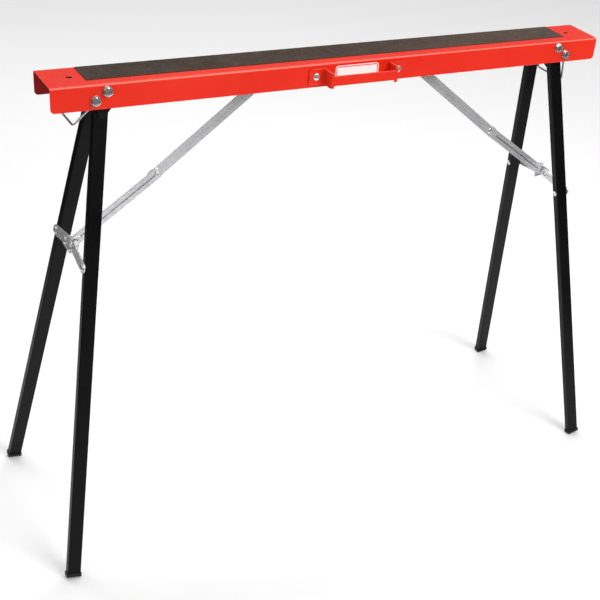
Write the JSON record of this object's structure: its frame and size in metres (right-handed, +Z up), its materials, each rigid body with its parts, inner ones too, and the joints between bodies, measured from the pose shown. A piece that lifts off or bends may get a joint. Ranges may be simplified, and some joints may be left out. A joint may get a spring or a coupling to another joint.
{
  "type": "folding sawhorse",
  "caption": "Folding sawhorse: red channel beam with a grip strip and carry handle, black splayed tube legs, folding spreaders and over-centre braces.",
  "frame": {"origin": "on the floor, under the middle of the beam", "axes": "+X along the beam to the right end, -Y the side with the carry handle, +Z up"},
  "size_m": [1.1042, 0.3766, 0.805],
  "materials": {
    "red_powder_coat": "satin",
    "grip_rubber": "matte",
    "black_powder_coat": "satin",
    "black_bracket_steel": "satin",
    "black_plastic": "matte",
    "galvanised_strip": "satin",
    "galvanised_wire": "satin",
    "zinc_bolt": "satin",
    "zinc_rivet": "satin"
  },
  "bodies": {
    "beam": {"beam_channel": "red_powder_coat", "grip_mat": "grip_rubber", "carry_handle": "red_powder_coat", "handle_rivets": "zinc_rivet", "bracket_bolts": "zinc_bolt", "bracket_nuts": "zinc_bolt", "bracket_washers": "zinc_bolt", "leg_hinge_pins": "black_bracket_steel", "anchor_pins": "zinc_rivet", "brace_anchor_left": "galvanised_strip", "brace_anchor_right": "galvanised_strip", "leg_bracket_left_front": "black_bracket_steel", "leg_bracket_left_rear": "black_bracket_steel", "leg_bracket_right_front": "black_bracket_steel", "leg_bracket_right_rear": "black_bracket_steel"},
    "left_front_leg": {"leg_tube_left_front": "black_powder_coat", "foot_cap_left_front": "black_plastic", "spreader_rivet_left_front": "zinc_rivet"},
    "left_front_spreader": {"spreader_left_front": "galvanised_strip"},
    "left_rear_leg": {"leg_tube_left_rear": "black_powder_coat", "foot_cap_left_rear": "black_plastic", "spreader_rivet_left_rear": "zinc_rivet"},
    "left_rear_spreader": {"spreader_left_rear": "galvanised_strip"},
    "left_upper_brace": {"brace_upper_left": "galvanised_strip", "elbow_rivet_left": "zinc_rivet"},
    "left_lower_brace": {"brace_lower_left": "galvanised_strip", "knee_rivet_left": "zinc_rivet"},
    "left_yoke": {"yoke_left": "galvanised_strip", "middle_rivets_left": "zinc_rivet"},
    "left_bail": {"wire_bail_left": "galvanised_wire"},
    "right_front_leg": {"leg_tube_right_front": "black_powder_coat", "foot_cap_right_front": "black_plastic", "spreader_rivet_right_front": "zinc_rivet"},
    "right_front_spreader": {"spreader_right_front": "galvanised_strip"},
    "right_rear_leg": {"leg_tube_right_rear": "black_powder_coat", "foot_cap_right_rear": "black_plastic", "spreader_rivet_right_rear": "zinc_rivet"},
    "right_rear_spreader": {"spreader_right_rear": "galvanised_strip"},
    "right_upper_brace": {"brace_upper_right": "galvanised_strip", "elbow_rivet_right": "zinc_rivet"},
    "right_lower_brace": {"brace_lower_right": "galvanised_strip", "knee_rivet_right": "zinc_rivet"},
    "right_yoke": {"yoke_right": "galvanised_strip", "middle_rivets_right": "zinc_rivet"},
    "right_bail": {"wire_bail_right": "galvanised_wire"}
  },
  "joints": [
    {"name": "left_rear_leg_fold", "type": "hinge", "parent": "beam", "child": "left_rear_leg", "pos_m": [-0.4146, 0.0112, 0.7848], "axis": [0, -0.9774, -0.2114], "range_deg": [0, 98.91]},
    {"name": "left_rear_spreader_swing", "type": "hinge", "parent": "left_rear_leg", "child": "left_rear_spreader", "pos_m": [-0.46932, 0.06759, 0.52408], "axis": [-0.988, -0.0327, 0.151], "range_deg": [0, 68.7]},
    {"name": "left_fold", "type": "hinge", "parent": "beam", "child": "left_front_leg", "pos_m": [-0.4146, -0.0112, 0.7848], "axis": [0, -0.9774, 0.2114], "range_deg": [0, 98.89]},
    {"name": "left_front_spreader_swing", "type": "hinge", "parent": "left_front_leg", "child": "left_front_spreader", "pos_m": [-0.46932, -0.06759, 0.52408], "axis": [0.988, -0.0327, -0.151], "range_deg": [0, 68.7]},
    {"name": "left_brace_anchor_turn", "type": "hinge", "parent": "beam", "child": "left_upper_brace", "pos_m": [-0.1296, 0, 0.7802], "axis": [0, 1, 0], "range_deg": [0, 36.63]},
    {"name": "left_elbow_turn", "type": "hinge", "parent": "left_upper_brace", "child": "left_lower_brace", "pos_m": [-0.32174, 0, 0.63294], "axis": [0, -1, 0], "range_deg": [0, 181.92]},
    {"name": "left_knee_turn", "type": "hinge", "parent": "left_lower_brace", "child": "left_yoke", "pos_m": [-0.45979, 0, 0.53569], "axis": [0, 1, 0], "range_deg": [0, 46.22]},
    {"name": "right_fold", "type": "hinge", "parent": "beam", "child": "right_front_leg", "pos_m": [0.4146, -0.026, 0.7874], "axis": [0, 0.9835, -0.181], "range_deg": [0, 98.94]},
    {"name": "right_front_spreader_swing", "type": "hinge", "parent": "right_front_leg", "child": "right_front_spreader", "pos_m": [0.46958, -0.07426, 0.52511], "axis": [0.9878, 0.0281, 0.1529], "range_deg": [0, 57.72]},
    {"name": "right_rear_leg_fold", "type": "hinge", "parent": "beam", "child": "right_rear_leg", "pos_m": [0.4146, 0.026, 0.7874], "axis": [0, 0.9835, 0.181], "range_deg": [0, 98.97]},
    {"name": "right_rear_spreader_swing", "type": "hinge", "parent": "right_rear_leg", "child": "right_rear_spreader", "pos_m": [0.46958, 0.07426, 0.52511], "axis": [-0.9878, 0.0281, -0.1529], "range_deg": [0, 57.72]},
    {"name": "right_brace_anchor_turn", "type": "hinge", "parent": "beam", "child": "right_upper_brace", "pos_m": [0.1296, 0, 0.7802], "axis": [0, -1, 0], "range_deg": [0, 36.51]},
    {"name": "right_elbow_turn", "type": "hinge", "parent": "right_upper_brace", "child": "right_lower_brace", "pos_m": [0.32381, 0, 0.63215], "axis": [0, 1, 0], "range_deg": [0, 181.9]},
    {"name": "right_knee_turn", "type": "hinge", "parent": "right_lower_brace", "child": "right_yoke", "pos_m": [0.46009, 0, 0.53672], "axis": [0, -1, 0], "range_deg": [0, 46.33]},
    {"name": "left_bail_swing", "type": "hinge", "parent": "beam", "child": "left_bail", "pos_m": [-0.437, 0, 0.7704], "axis": [0, -1, 0], "range_deg": [-40, 42]},
    {"name": "right_bail_swing", "type": "hinge", "parent": "beam", "child": "right_bail", "pos_m": [0.437, 0, 0.7704], "axis": [0, 1, 0], "range_deg": [-82, 0]}
  ],
  "couplings": [
    {"joint": "left_rear_leg_fold", "follows": "left_fold", "ratio": 1},
    {"joint": "left_rear_spreader_swing", "follows": "left_fold", "ratio": 0.69444},
    {"joint": "left_front_spreader_swing", "follows": "left_fold", "ratio": 0.69444},
    {"joint": "left_brace_anchor_turn", "follows": "left_fold", "ratio": 0.37019},
    {"joint": "left_elbow_turn", "follows": "left_fold", "ratio": 1.8394},
    {"joint": "left_knee_turn", "follows": "left_fold", "ratio": 0.46715},
    {"joint": "right_front_spreader_swing", "follows": "right_fold", "ratio": 0.58313},
    {"joint": "right_rear_leg_fold", "follows": "right_fold", "ratio": 1},
    {"joint": "right_rear_spreader_swing", "follows": "right_fold", "ratio": 0.58313},
    {"joint": "right_brace_anchor_turn", "follows": "right_fold", "ratio": 0.36875},
    {"joint": "right_elbow_turn", "follows": "right_fold", "ratio": 1.8382},
    {"joint": "right_knee_turn", "follows": "right_fold", "ratio": 0.46797}
  ]
}
